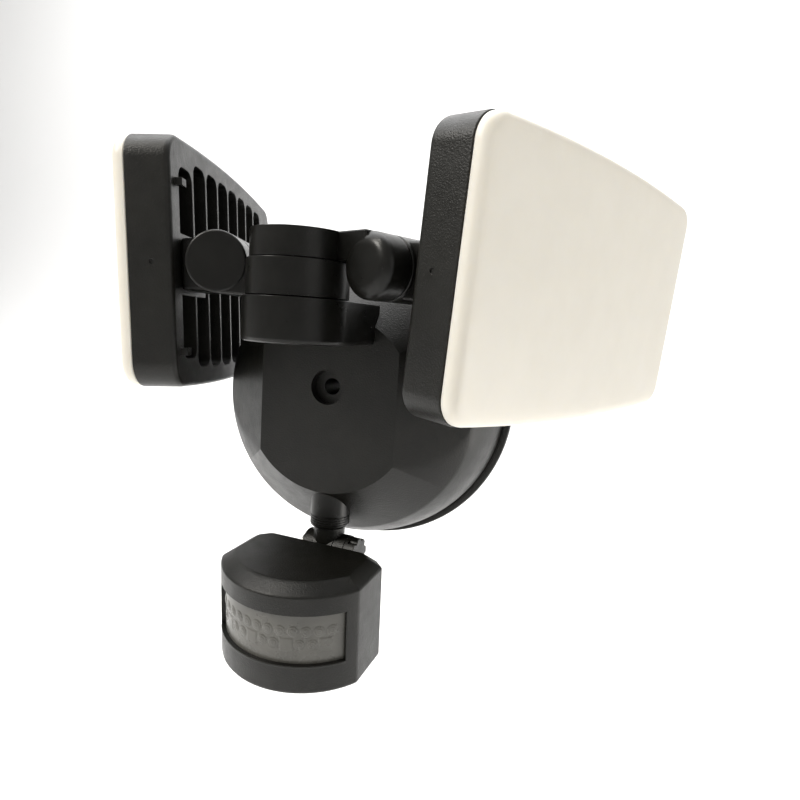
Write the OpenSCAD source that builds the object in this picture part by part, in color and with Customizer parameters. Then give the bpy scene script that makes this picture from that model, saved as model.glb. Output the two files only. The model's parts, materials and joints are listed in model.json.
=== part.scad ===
// Twin-head LED floodlight with a motion sensor.
// Origin: centre of the wall plate on the wall. +Z up, -Y out from the wall, +X to the right.

/* [Canopy] */
// Radius of the wall plate
plate_r = 60; // [56:0.5:64]
// Thickness of the wall plate
plate_t = 3; // [2:0.5:4]
// Thickness of the foam gasket behind the wall plate
gasket_t = 1.2; // [0.8:0.1:2]
// Radius of the cover where it meets the wall plate
cover_r = 57; // [54:0.5:59]
// Radius of the sharp edge between the cover's rounded side and its bevel
edge_r = 49.7; // [46:0.1:52]
// Distance of that edge from the wall
edge_depth = 30.3; // [26:0.1:34]
// Radius of the cover's flat face
face_r = 32.5; // [28:0.5:36]
// Distance of the flat face from the wall
face_depth = 46.9; // [42:0.1:52]
// Half width of the face between its two side facets
crease_x = 25.9; // [22:0.1:30]
// Wall thickness of the cover
wall = 2.4; // [1.8:0.1:3]

/* [Mounting bolt hole] */
// Height of the hole above the centre
hole_z = 5.8; // [0:0.1:8]
// Radius of the hole
hole_r = 3; // [2:0.1:3.5]
// Radius of its counterbore
counterbore_r = 6.2; // [5:0.1:7]
// Depth of its counterbore
counterbore_depth = 4.3; // [3:0.1:6]

/* [Turret] */
// Distance of the turret's axis from the wall
turret_y = 71; // [68:0.5:76]
// Radius of the fixed base block
base_r = 16.7; // [16.5:0.1:18]
// Radius of the middle ring, which carries the left head
ring_r = 15.7; // [15:0.1:16]
// Radius of the top ring, which carries the right head
cap_r = 14.8; // [14:0.1:15.5]
// Height of the underside of the base block
base_z = 21.8; // [19:0.1:24]
// Height of the joint between the base block and the middle ring
ring_z = 35.3; // [34:0.1:36]
// Height of the joint between the two rings
split_z = 46.4; // [45:0.1:48]
// Height of the turret's top
top_z = 55; // [54:0.1:56]

/* [Knuckles] */
// Distance of each tilt axis from the turret's axis
arm_reach = 26.1; // [25.8:0.1:28]
// Radius of the knuckles
knuckle_r = 9.6; // [9:0.1:9.7]
// Distance of the knuckle's near end behind the arm's centre line
disc_start = 2.4; // [2:0.1:4]
// Length of the knuckle half that belongs to the arm
disc_len = 10; // [9:0.5:12]
// Distance of the knuckle's far end behind the arm's centre line
barrel_end = 37; // [34:0.5:44]

/* [Lamp heads] */
// Width of a head
head_w = 141; // [130:0.1:160]
// Height of a head at its ends
head_h = 79.8; // [70:0.1:82]
// Outward bow of the long edges
head_bow = 3; // [0:0.1:4]
// Corner radius of a head
head_corner = 8.2; // [6:0.1:16]
// Thickness of the housing
housing_t = 14.2; // [12:0.1:16]
// Height of the diffuser above the housing
diffuser_t = 4.8; // [3:0.1:6]
// Distance from the tilt axis to the housing's back
head_back = 15; // [14.5:0.1:18]
// Distance from the arm's centre line to the middle of the head
head_offset = 77.5; // [76:0.1:90]
// Spacing of the cooling ribs
rib_pitch = 14.1; // [13:0.1:14.5]
// Thickness of a cooling rib
rib_t = 1.6; // [1.2:0.1:2.4]
// Number of slots between the ribs
slot_count = 9; // [8:1:9]
// Depth of the slots
slot_depth = 7; // [5:0.5:8]

/* [Sensor] */
// Distance of the sensor's stem from the wall
stem_y = 39; // [38:0.5:41]
// Distance of the sensor's back from the wall
sensor_back_y = 46; // [45.9:0.1:48]
// Distance of the sensor's front from the wall
sensor_front_y = 82.5; // [80:0.5:86]
// Radius of the sensor's round front
sensor_r = 31; // [29:0.5:33]
// Width of the sensor
sensor_w = 54; // [52:0.5:58]
// Height of the sensor's top
sensor_top = -50; // [-51:0.5:-49.5]
// Height of the sensor body
sensor_h = 36.5; // [34:0.5:40]
// Height of the sensor's tilt axis
sensor_pivot_z = -56; // [-58:0.5:-56]
// Half angle of the lens window
lens_half_angle = 52; // [40:1:54]
// Height of the lens window
window_h = 17; // [12:0.5:19]

/* [Pose at rest] */
// Swing of the right head from straight ahead
right_swing = 64.5; // [0:0.5:71.5]
// Nose-down tilt of the right head
right_tilt = 4.1; // [-10:0.1:6]
// Swing of the left head from straight ahead
left_swing = 71.5; // [0:0.5:71.5]
// Nose-down tilt of the left head
left_tilt = 2.8; // [-10:0.1:6]
// Turn of the sensor to the left
sensor_turn = 4; // [-30:1:30]
// Nose-down tilt of the sensor
sensor_nod = 3; // [-8:1:15]

/* [Hidden] */

$fn = 64;
black = [0.09, 0.09, 0.085];
dark = [0.16, 0.16, 0.15];
steel = [0.62, 0.63, 0.64];
opal = [0.93, 0.91, 0.86];
board_green = [0.16, 0.36, 0.22];
white = [0.9, 0.9, 0.88];

// Fits and small gaps
running = 0.05;       // radial clearance of a shaft that turns
seam = 0.2;           // gap between faces that turn past each other
corner_steps = 8;     // segments in a head's corner
edge_steps = 10;      // segments in a head's bowed edge

// Canopy
cover_back = gasket_t + plate_t;
side_run = edge_depth - cover_back;
side_drop = cover_r - edge_r;
side_arc = (side_run * side_run + side_drop * side_drop) / (2 * side_drop);
bevel_slope = (face_depth - edge_depth) / (edge_r - face_r);
facet_angle = atan((face_depth - edge_depth) / (edge_r - crease_x));
wire_hole_z = 27.8;
wire_entry_z = 27;
wire_entry_r = 9;
ground_x = -24;
ground_z = 26;
box_screw_x = 39.7;   // half the spacing of the outlet box screws
box_slot = 14;        // length of their slots
box_slot_r = 2.3;
boss_r = 8;
boss_gap_y = 24;      // where the cover's boss and the plate's boss meet
thread_r = 2.5;       // M6 tapping radius

// Turret
tube_r = 8;
tube_bore = 6;
tube_bottom = 26.5;
base_wall = 2.4;
base_screw_x = 11.6;
base_screw_z = 26;
web_t = 2.5;          // floor of each ring
flange_z = split_z + seam / 2 + web_t + 0.7;
knuckle_z = (ring_z + top_z) / 2;
disc_end = disc_start + disc_len;
barrel_start = disc_end + seam;
bolt_r = 2.5;
bolt_head_r = 4.4;
nut_r = 4.6;
nut_t = 3.6;
flat_x = 8.2;         // flat on the turret side of the head's knuckle

// Lamp heads
housing_front = head_back + housing_t;
floor_front = head_back + slot_depth + 2;
boss_half_h = 8.5;
boss_start = barrel_start + 1.4;
boss_mid = (boss_start + barrel_end) / 2;
rib_border = 6.5;
side_wall = 2.5;

// Sensor
sensor_bottom = sensor_top - sensor_h;
sensor_centre_y = sensor_front_y - sensor_r;
sensor_wall = 2;
bevel_h = 3.6;
bevel_steps = 6;
hollow_bottom = sensor_bottom + sensor_wall;
hollow_h = sensor_h - sensor_wall - 5;
plate_half_w = 22;
window_top = sensor_top - 9.5;
window_mid = window_top - window_h / 2;
collar_r = 7.3;
collar_bottom = -46.5;
collar_seat = -32;
shoulder_z = collar_bottom - 0.1;
stem_r = 5;
stem_top = -28;
groove_r = 4.2;
eye_r = 6.5;
eye_half = 4;
ear_r = 6.3;
ear_outer = 8.4;
board_y = sensor_back_y + 12;
post_x = 17;
post_r = 2.6;
dial_x = 9;
dial_y = 66;
dial_r = 3.7;
pot_bottom = sensor_bottom + 5.2;

// ---------- helpers ----------

// A cylinder along -Y, from y0 to y1 out from the wall
module out_from_wall(r, y0, y1, x = 0, z = 0) {
    translate([x, -y0, z]) rotate([90, 0, 0]) cylinder(r = r, h = y1 - y0);
}

// A cylinder along X
module along_x(r, x0, x1, y = 0, z = 0) {
    translate([x0, y, z]) rotate([0, 90, 0]) cylinder(r = r, h = x1 - x0);
}

// A cylinder along Y
module along_y(r, y0, y1, x = 0, z = 0) {
    translate([x, y0, z]) rotate([-90, 0, 0]) cylinder(r = r, h = y1 - y0);
}

// The children's outline, drawn across (Y, Z), thickened from x0 to x1
module slab(x0, x1) {
    translate([x0, 0, 0]) rotate([90, 0, 90]) linear_extrude(x1 - x0) children();
}

// A rectangle with round corners, centred
module round_rect(w, h, r) {
    square([w - 2 * r, h], center = true);
    square([w, h - 2 * r], center = true);
    for (x = [-1, 1], y = [-1, 1]) translate([x * (w / 2 - r), y * (h / 2 - r)]) circle(r);
}

// A slot with round ends, centred, its length along X
module slot(length, r) {
    square([length - 2 * r, 2 * r], center = true);
    for (x = [-1, 1]) translate([x * (length / 2 - r), 0]) circle(r);
}

// A pan-head screw pointing along +Z, its head's top at z = 0
module screw(r, head_r, head_t, length) {
    cylinder(r = head_r, h = head_t);
    translate([0, 0, head_t]) cylinder(r = r, h = length);
}

// ---------- frames of the moving parts ----------

// Local frame of an arm: X out along the arm, Y towards the head's far end, Z up
module arm_frame(side) {
    swing = side > 0 ? right_swing : left_swing;
    translate([0, -turret_y, 0]) mirror([side > 0 ? 0 : 1, 0, 0]) rotate([0, 0, swing - 90]) children();
}

// Local frame of a head: origin on the tilt axis
module head_frame(side) {
    arm_frame(side) translate([arm_reach, 0, knuckle_z]) rotate([0, side > 0 ? right_tilt : left_tilt, 0])
        children();
}

// Frame of what turns with the sensor's stem
module stem_frame() {
    translate([0, -stem_y, 0]) rotate([0, 0, -sensor_turn]) translate([0, stem_y, 0]) children();
}

// Frame of what also tilts with the sensor
module sensor_frame() {
    stem_frame() translate([0, -stem_y, sensor_pivot_z]) rotate([sensor_nod, 0, 0])
        translate([0, stem_y, -sensor_pivot_z]) children();
}

// ---------- canopy ----------

module wall_gasket() {
    color(dark) difference() {
        out_from_wall(plate_r - 1, 0, gasket_t);
        out_from_wall(thread_r + 1, -1, gasket_t + 1, z = hole_z);
        out_from_wall(wire_entry_r, -1, gasket_t + 1, z = wire_entry_z);
        out_from_wall(3, -1, gasket_t + 1, ground_x, ground_z);
        for (side = [-1, 1]) translate([side * box_screw_x, 1, 0]) rotate([90, 0, 0])
            linear_extrude(gasket_t + 2) slot(box_slot, box_slot_r);
    }
}

module wall_plate() {
    color(black) difference() {
        union() {
            out_from_wall(plate_r, gasket_t, cover_back);
            out_from_wall(boss_r, gasket_t, boss_gap_y, z = hole_z);
        }
        out_from_wall(thread_r, 0, boss_gap_y + 1, z = hole_z);
        out_from_wall(wire_entry_r, 0, cover_back + 1, z = wire_entry_z);
        out_from_wall(2, 0, cover_back + 1, ground_x, ground_z);
        for (side = [-1, 1]) translate([side * box_screw_x, 0, 0]) rotate([90, 0, 0])
            linear_extrude(cover_back + 1) slot(box_slot, box_slot_r);
    }
}

module ground_screw() {
    color("green") translate([ground_x, -cover_back - 2, ground_z]) rotate([-90, 0, 0])
        screw(2, 4, 2, plate_t);
}

// Half section of the cover, radius across and distance from the wall up
module cover_section(inset) {
    back = inset > 0 ? cover_back - 1 : cover_back;
    rim = cover_r + 1;
    face = face_depth - inset;
    corner = face_r - inset * (sqrt(1 + bevel_slope * bevel_slope) - 1) / bevel_slope;
    intersection() {
        translate([cover_r - side_arc, cover_back]) circle(side_arc - inset, $fn = 160);
        polygon([
            [0, back], [rim, back], [rim, face - bevel_slope * (rim - corner)], [corner, face], [0, face]
        ]);
    }
}

// The cover's outer form, or its hollow when inset is the wall thickness
module cover_form(inset) {
    difference() {
        rotate([90, 0, 0]) rotate_extrude($fn = 160) cover_section(inset);
        for (side = [-1, 1]) translate([side * (crease_x - inset * 0.3), -face_depth + inset, 0])
            rotate([0, 0, side * facet_angle]) translate([side > 0 ? 0 : -80, -40, -80]) cube([80, 40, 160]);
    }
}

module canopy_cover() {
    color(black) difference() {
        union() {
            difference() {
                cover_form(0);
                cover_form(wall);
            }
            out_from_wall(boss_r + 1, boss_gap_y, face_depth - 1, z = hole_z);
            intersection() {
                cover_form(0);
                translate([0, -stem_y, -60]) cylinder(r = collar_r + 2, h = 60 + collar_seat);
            }
        }
        out_from_wall(counterbore_r, face_depth - counterbore_depth, face_depth + 1, z = hole_z);
        out_from_wall(hole_r, boss_gap_y - 1, face_depth, z = hole_z);
        out_from_wall(3.4, face_depth - 9, face_depth + 1, z = wire_hole_z);
        for (side = [-1, 1])
            out_from_wall(1.8, face_depth - 9, face_depth + 1, side * base_screw_x, base_screw_z);
        translate([0, -stem_y, -60]) cylinder(r = collar_r, h = 60 + collar_seat);
    }
}

module driver_box() {
    color(dark) difference() {
        translate([-27, -28, -37]) cube([54, 22.5, 22]);
        translate([-25, -26, -35]) cube([50, 26, 18]);
    }
}

module driver_lid() {
    color(dark) translate([-27, -5.5, -37]) cube([54, 1.3, 22]);
}

// Terminal block for the supply wires
module terminal_block() {
    color(white) difference() {
        translate([17, -14.2, 17]) cube([26, 10, 14]);
        for (x = [21.5, 30, 38.5]) {
            out_from_wall(2.1, 8, 15, x, 24);
            translate([x, -8.5, 16]) cylinder(r = 1.7, h = 16);
        }
    }
}

module terminal_screws() {
    color("goldenrod") for (x = [21.5, 30, 38.5]) out_from_wall(2.1, 10.2, 13, x, 24);
}

// ---------- turret ----------

// Plan of the base block: round in front, straight back to the cover
module base_plan(inset) {
    translate([0, -turret_y]) circle(base_r - inset);
    translate([-base_r + inset, -turret_y]) square([2 * (base_r - inset), turret_y - 36]);
}

module turret_base() {
    color(black) difference() {
        translate([0, 0, base_z]) linear_extrude(ring_z - base_z) base_plan(0);
        translate([0, 0, base_z + base_wall]) linear_extrude(ring_z - base_z - 2 * base_wall)
            base_plan(base_wall);
        translate([0, -turret_y, ring_z - base_wall - 1]) cylinder(r = tube_r, h = base_wall + 2);
        cover_form(0);
    }
    color(black) for (side = [-1, 1]) difference() {
        out_from_wall(3, face_depth, face_depth + 9, side * base_screw_x, base_screw_z);
        out_from_wall(1.3, face_depth - 1, face_depth + 10, side * base_screw_x, base_screw_z);
    }
}

module base_screws() {
    color(steel) for (side = [-1, 1])
        translate([side * base_screw_x, -face_depth + wall + 2, base_screw_z]) rotate([90, 0, 0])
            screw(1.3, 2.8, 2, 8);
}

module pivot_tube() {
    color(steel) translate([0, -turret_y, 0]) difference() {
        union() {
            translate([0, 0, tube_bottom]) cylinder(r = tube_r, h = flange_z - tube_bottom);
            translate([0, 0, flange_z]) cylinder(r = 10.5, h = 1.5);
        }
        translate([0, 0, tube_bottom - 1]) cylinder(r = tube_bore, h = 30);
    }
}

module pivot_nut() {
    color(steel) translate([0, -turret_y, ring_z - base_wall - 4]) difference() {
        cylinder(r = 12, h = 4, $fn = 6);
        translate([0, 0, -1]) cylinder(r = tube_r, h = 6);
    }
}

module pivot_washer() {
    color(steel) translate([0, -turret_y, flange_z - 0.55]) difference() {
        cylinder(r = 10.5, h = 0.5);
        translate([0, 0, -1]) cylinder(r = tube_r + running, h = 3);
    }
}

// A turning ring, its neck and its half of the knuckle, from z0 to z1
module swivel_arm(r, z0, z1) {
    difference() {
        union() {
            translate([0, 0, z0]) cylinder(r = r, h = z1 - z0);
            translate([0, disc_start, z0]) cube([arm_reach, disc_len, z1 - z0]);
            along_y(knuckle_r, disc_start, disc_end, arm_reach, knuckle_z);
        }
        translate([0, 0, z0 - 1]) cylinder(r = tube_r + running, h = web_t + 2);
        translate([0, 0, z0 + web_t]) cylinder(r = r - 2.4, h = 20);
        along_y(bolt_r, disc_start + 2.4, disc_end + 1, arm_reach, knuckle_z);
        translate([arm_reach, disc_end - nut_t, knuckle_z]) rotate([-90, 0, 0])
            cylinder(r = nut_r, h = nut_t + 1, $fn = 6);
    }
}

module left_arm() {
    color(black) arm_frame(-1) swivel_arm(ring_r, ring_z + seam, split_z - seam / 2);
}

module right_arm() {
    color(black) arm_frame(1) swivel_arm(cap_r, split_z + seam / 2, top_z);
}

module turret_cap() {
    color(black) translate([0, -turret_y, top_z - 2.2]) cylinder(r = cap_r - 2.4, h = 2.2);
}

module knuckle_nut(side) {
    color(steel) arm_frame(side) translate([arm_reach, disc_end - nut_t, knuckle_z]) rotate([-90, 0, 0])
        difference() {
            cylinder(r = nut_r, h = nut_t, $fn = 6);
            translate([0, 0, -1]) cylinder(r = bolt_r, h = nut_t + 2);
        }
}

module knuckle_bolt(side) {
    color(steel) arm_frame(side) {
        along_y(bolt_r, disc_start + 2.6, barrel_end - 3.5, arm_reach, knuckle_z);
        along_y(bolt_head_r, barrel_end - 3.5, barrel_end - 0.7, arm_reach, knuckle_z);
    }
}

module left_knuckle_nut() { knuckle_nut(-1); }
module left_knuckle_bolt() { knuckle_bolt(-1); }
module right_knuckle_nut() { knuckle_nut(1); }
module right_knuckle_bolt() { knuckle_bolt(1); }

// ---------- lamp heads ----------

function corner(x, y, r, a) =
    [for (k = [0:corner_steps]) let (t = a + 90 * k / corner_steps) [x + r * cos(t), y + r * sin(t)]];

function edge(x0, x1, y) = [for (k = [1:edge_steps - 1]) [x0 + (x1 - x0) * k / edge_steps, y]];

// Bow of the long edges at a distance x from the middle
function bow_at(x) = head_bow * (1 - pow(2 * x / head_w, 2));

function head_points(w, h, r) = concat(
    corner(w / 2 - r, h / 2 - r, r, 0), edge(w / 2 - r, r - w / 2, h / 2),
    corner(r - w / 2, h / 2 - r, r, 90), corner(r - w / 2, r - h / 2, r, 180),
    edge(r - w / 2, w / 2 - r, -h / 2), corner(w / 2 - r, r - h / 2, r, 270)
);

module head_outline(inset) {
    w = head_w - 2 * inset;
    h = head_h - 2 * inset;
    translate([head_offset, 0]) polygon([
        for (p = head_points(w, h, head_corner - inset)) [p.x, p.y + bow_at(p.x) * p.y / (h / 2)]
    ]);
}

module rib_slots() {
    for (k = [0:slot_count - 1]) {
        x = (k - (slot_count - 1) / 2) * rib_pitch;
        end = k == 0 || k == slot_count - 1 ? 3 : 0;
        translate([head_offset + x, 0])
            round_rect(rib_pitch - rib_t, head_h + 2 * (bow_at(x) - rib_border - end), 4);
    }
}

module knuckle_pad() {
    translate([boss_start - 1.5, -boss_half_h - 1.5])
        square([barrel_end - boss_start + 3, 2 * boss_half_h + 3]);
}

module head_housing(side) {
    color(black) head_frame(side) {
        difference() {
            slab(head_back, housing_front) head_outline(0);
            slab(head_back - 1, head_back + slot_depth) difference() {
                rib_slots();
                knuckle_pad();
            }
            slab(floor_front, housing_front + 1) head_outline(side_wall);
            for (z = [-5, 5]) {
                along_x(1.3, head_back - 1, floor_front, boss_mid, z);
                along_x(2.6, floor_front - 2, floor_front + 1, boss_mid, z);
            }
        }
        for (z = [-1, 1]) translate([head_back - 2.4, head_offset - head_w / 2 + 4.2, z * 27 - 1.5])
            cube([2.4, 2.6, 3]);
    }
}

module head_knuckle(side) {
    color(black) head_frame(side) difference() {
        union() {
            difference() {
                along_y(knuckle_r, barrel_start, barrel_end);
                translate([-20 - flat_x, boss_start, -20]) cube([20, 40, 40]);
            }
            translate([0, boss_start, -boss_half_h])
                cube([head_back, barrel_end - boss_start, 2 * boss_half_h]);
        }
        along_y(bolt_r + running, 0, barrel_end + 1);
        along_y(bolt_head_r + 0.4, barrel_end - 3.6, barrel_end + 1);
        for (z = [-5, 5]) along_x(1.3, head_back - 5, head_back + 1, boss_mid, z);
    }
}

module knuckle_screws(side) {
    color(steel) head_frame(side) for (z = [-5, 5]) {
        along_x(1.3, head_back - 5, floor_front - 2, boss_mid, z);
        along_x(2.6, floor_front - 2, floor_front - 0.2, boss_mid, z);
    }
}

module head_gasket(side) {
    color(dark) head_frame(side) slab(floor_front, floor_front + 2.2) difference() {
        head_outline(side_wall);
        head_outline(side_wall + 1.6);
    }
}

module led_board(side) {
    color(white) head_frame(side) slab(floor_front, floor_front + 1.6) head_outline(side_wall + 2);
}

module leds(side) {
    color("khaki") head_frame(side) for (x = [-3.5:3.5], z = [-1:1])
        translate([floor_front + 1.6, head_offset + x * 17 - 1.75, z * 20 - 1.4]) cube([0.7, 3.5, 2.8]);
}

module diffuser(side) {
    color(opal) head_frame(side) difference() {
        union() {
            slab(floor_front + 2.2, housing_front) head_outline(side_wall);
            slab(housing_front, housing_front + diffuser_t - 1.6) head_outline(0.4);
            slab(housing_front + diffuser_t - 1.6, housing_front + diffuser_t - 0.6) head_outline(1.2);
            slab(housing_front + diffuser_t - 0.6, housing_front + diffuser_t) head_outline(2.4);
        }
        slab(floor_front + 1, housing_front + diffuser_t - 1.8) head_outline(side_wall + 1.6);
    }
}

module left_knuckle() { head_knuckle(-1); }
module left_housing() { head_housing(-1); }
module left_knuckle_screws() { knuckle_screws(-1); }
module left_gasket() { head_gasket(-1); }
module left_led_board() { led_board(-1); }
module left_leds() { leds(-1); }
module left_diffuser() { diffuser(-1); }
module right_knuckle() { head_knuckle(1); }
module right_housing() { head_housing(1); }
module right_knuckle_screws() { knuckle_screws(1); }
module right_gasket() { head_gasket(1); }
module right_led_board() { led_board(1); }
module right_leds() { leds(1); }
module right_diffuser() { diffuser(1); }

// ---------- sensor ----------

module sensor_collar() {
    color(black) translate([0, -stem_y, 0]) difference() {
        union() {
            translate([0, 0, collar_bottom]) cylinder(r = collar_r, h = collar_seat - collar_bottom);
            translate([0, 0, collar_seat]) intersection() {
                cylinder(r = collar_r + 1.4, h = 3);
                translate([-10, stem_y - face_depth + wall + 1.3, 0]) cube([20, 20, 3]);
            }
        }
        translate([0, 0, -50]) cylinder(r = stem_r + running, h = 30);
    }
}

module sensor_stem() {
    color(black) stem_frame() difference() {
        union() {
            translate([0, -stem_y, shoulder_z]) cylinder(r = stem_r, h = stem_top - shoulder_z);
            difference() {
                translate([0, -stem_y, sensor_pivot_z]) cylinder(r = 5.8, h = shoulder_z - sensor_pivot_z);
                along_x(eye_r, -20, 20, -stem_y, sensor_pivot_z);
            }
            along_x(eye_r, -eye_half, eye_half, -stem_y, sensor_pivot_z);
        }
        along_x(2 + running, -20, 20, -stem_y, sensor_pivot_z);
        translate([0, -stem_y, stem_top - 1.2]) difference() {
            cylinder(r = 8, h = 0.9);
            translate([0, 0, -1]) cylinder(r = groove_r, h = 3);
        }
    }
}

module stem_circlip() {
    color(steel) stem_frame() translate([0, -stem_y, stem_top - 0.95]) difference() {
        cylinder(r = stem_r + 0.4, h = 0.6);
        translate([0, 0, -1]) cylinder(r = groove_r, h = 3);
    }
}

// Plan of the sensor: a round front, straight sides and cut back corners
module sensor_plan(inset) {
    half_w = sensor_w / 2 - inset;
    back = -sensor_back_y - inset * 0.5;
    translate([0, -sensor_centre_y]) intersection() {
        circle(sensor_r - inset, $fn = 160);
        translate([0, sensor_centre_y]) polygon([
            [-half_w, -100], [half_w, -100], [half_w, back - 4], [half_w - 4, back],
            [4 - half_w, back], [-half_w, back - 4]
        ]);
    }
}

// The sensor's outer form: a broad bevel round the top
module sensor_form() {
    translate([0, 0, sensor_bottom]) linear_extrude(sensor_h - bevel_h) sensor_plan(0);
    for (k = [1:bevel_steps]) translate([0, 0, sensor_top - bevel_h * (1 - (k - 1) / bevel_steps)])
        linear_extrude(bevel_h / bevel_steps) sensor_plan(4.6 * (k - 0.5) / bevel_steps);
}

// A ring of space about the sensor's round front
module front_band(r0, r1, z0, z1, half_angle) {
    translate([0, -sensor_centre_y, 0]) rotate([0, 0, -90 - half_angle])
        rotate_extrude(angle = 2 * half_angle, $fn = 160) translate([r0, z0]) square([r1 - r0, z1 - z0]);
}

// Places its children at the four sensor screws, Z pointing out from the wall
module at_sensor_screws(y) {
    for (x = [-post_x, post_x], z = [hollow_bottom + 2.4, hollow_bottom + hollow_h - 2.4])
        translate([x, -y, z]) rotate([90, 0, 0]) children();
}

module sensor_front() {
    color(black) sensor_frame() {
        difference() {
            sensor_form();
            translate([0, 0, hollow_bottom]) linear_extrude(hollow_h) intersection() {
                sensor_plan(sensor_wall);
                translate([-40, -100]) square([80, 100 - sensor_back_y - 2.2]);
            }
            translate([-plate_half_w, -sensor_back_y - 5, hollow_bottom])
                cube([2 * plate_half_w, 10, hollow_h]);
            front_band(20, 40, window_top - window_h, window_top, lens_half_angle);
            for (side = [-1, 1]) translate([side * dial_x, -dial_y, sensor_bottom - 1])
                cylinder(r = dial_r + 0.1, h = sensor_wall + 2);
        }
        at_sensor_screws(sensor_back_y + 2.2) difference() {
            cylinder(r = post_r, h = board_y - sensor_back_y - 2.2);
            translate([0, 0, -1]) cylinder(r = 1.1, h = 7);
        }
    }
}

module sensor_lens() {
    color("lightgrey", 0.8) sensor_frame()
        front_band(sensor_r - sensor_wall - 1.2, sensor_r - sensor_wall, window_top - window_h - 2,
            window_top + 2, lens_half_angle + 3);
}

module sensor_back() {
    color(black) sensor_frame() difference() {
        union() {
            translate([-plate_half_w, -sensor_back_y - 2.2, hollow_bottom])
                cube([2 * plate_half_w, 2.2, hollow_h]);
            for (side = [-1, 1]) {
                x0 = side > 0 ? eye_half + seam : -ear_outer;
                x1 = x0 + ear_outer - eye_half - seam;
                along_x(ear_r, x0, x1, -stem_y, sensor_pivot_z);
                translate([x0, -sensor_back_y, sensor_pivot_z - ear_r]) cube([x1 - x0, 7, ear_r]);
            }
        }
        along_x(2, -20, 20, -stem_y, sensor_pivot_z);
        at_sensor_screws(sensor_back_y - 1) cylinder(r = 1.1, h = 5);
    }
}

module sensor_tilt_bolt() {
    color(steel) sensor_frame() {
        along_x(2, -ear_outer, ear_outer + 3, -stem_y, sensor_pivot_z);
        along_x(3.6, -ear_outer - 2, -ear_outer, -stem_y, sensor_pivot_z);
    }
}

module sensor_tilt_knob() {
    color(black) sensor_frame() difference() {
        along_x(6, ear_outer, ear_outer + 4.4, -stem_y, sensor_pivot_z);
        along_x(2, 0, ear_outer + 3, -stem_y, sensor_pivot_z);
        for (k = [0:7]) translate([0, -stem_y, sensor_pivot_z]) rotate([45 * k + 22.5, 0, 0])
            along_x(1.2, ear_outer + 1.2, ear_outer + 6, 6.2, 0);
    }
}

module sensor_board() {
    color(board_green) sensor_frame() translate([-20, -board_y - 1.6, hollow_bottom + 0.6])
        cube([40, 1.6, hollow_h - 1.2]);
}

module pir_detector() {
    color(steel) sensor_frame() {
        out_from_wall(4.6, board_y + 1.6, board_y + 6, 0, window_mid);
        out_from_wall(5, board_y + 1.6, board_y + 2.2, 0, window_mid);
    }
}

module sensor_pots() {
    color("royalblue") sensor_frame() for (side = [-1, 1]) difference() {
        translate([side * dial_x - 4.5, -dial_y - 4.5, pot_bottom])
            cube([9, dial_y + 2.9 - board_y, 3.2]);
        translate([side * dial_x, -dial_y, pot_bottom - 1]) cylinder(r = 1.5 + running, h = 3);
    }
}

module dial(side) {
    color(dark) sensor_frame() translate([side * dial_x, -dial_y, sensor_bottom + 0.3]) difference() {
        union() {
            cylinder(r = dial_r, h = 3);
            cylinder(r = 1.5, h = 6.4);
        }
        translate([-3, -0.5, -1]) cube([6, 1, 2]);
    }
}

module time_dial() { dial(-1); }
module light_dial() { dial(1); }

module sensor_screws() {
    color(steel) sensor_frame() at_sensor_screws(sensor_back_y) {
        translate([0, 0, -1.4]) cylinder(r = 2.2, h = 1.4);
        cylinder(r = 1.1, h = 7);
    }
}

// ---------- draw ----------

wall_gasket();
wall_plate();
ground_screw();
driver_box();
driver_lid();
terminal_block();
terminal_screws();
canopy_cover();
turret_base();
base_screws();
pivot_tube();
pivot_nut();
pivot_washer();
left_arm();
left_knuckle_nut();
left_knuckle_bolt();
right_arm();
right_knuckle_nut();
right_knuckle_bolt();
turret_cap();
left_knuckle();
left_housing();
left_knuckle_screws();
left_gasket();
left_led_board();
left_leds();
left_diffuser();
right_knuckle();
right_housing();
right_knuckle_screws();
right_gasket();
right_led_board();
right_leds();
right_diffuser();
sensor_collar();
sensor_stem();
stem_circlip();
sensor_tilt_bolt();
sensor_tilt_knob();
sensor_front();
sensor_back();
sensor_lens();
sensor_board();
sensor_pots();
pir_detector();
sensor_screws();
time_dial();
light_dial();
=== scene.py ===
"""Twin-head LED floodlight with a motion sensor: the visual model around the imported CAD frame.

Pieces are built in millimetres in a local frame, then carried into the row frame in metres.
"""

import json
import math

import bmesh
import bpy
from mathutils import Matrix, Vector


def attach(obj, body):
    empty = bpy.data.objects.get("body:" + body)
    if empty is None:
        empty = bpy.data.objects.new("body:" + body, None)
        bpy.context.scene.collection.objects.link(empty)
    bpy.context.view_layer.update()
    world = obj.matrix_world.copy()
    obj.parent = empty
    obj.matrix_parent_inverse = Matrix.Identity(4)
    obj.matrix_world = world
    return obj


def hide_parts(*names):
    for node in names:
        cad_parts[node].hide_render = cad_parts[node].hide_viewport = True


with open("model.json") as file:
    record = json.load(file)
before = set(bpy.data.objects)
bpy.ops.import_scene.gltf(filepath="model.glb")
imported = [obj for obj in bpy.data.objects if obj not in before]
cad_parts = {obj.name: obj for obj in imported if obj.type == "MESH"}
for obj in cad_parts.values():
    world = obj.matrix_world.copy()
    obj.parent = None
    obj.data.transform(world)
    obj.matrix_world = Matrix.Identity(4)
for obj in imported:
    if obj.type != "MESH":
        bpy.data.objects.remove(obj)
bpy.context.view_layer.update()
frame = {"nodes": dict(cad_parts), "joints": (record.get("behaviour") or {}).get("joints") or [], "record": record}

MM = 0.001
JOINTS = {j["name"]: j for j in frame["joints"]}
SIDES = ("left", "right")

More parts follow.
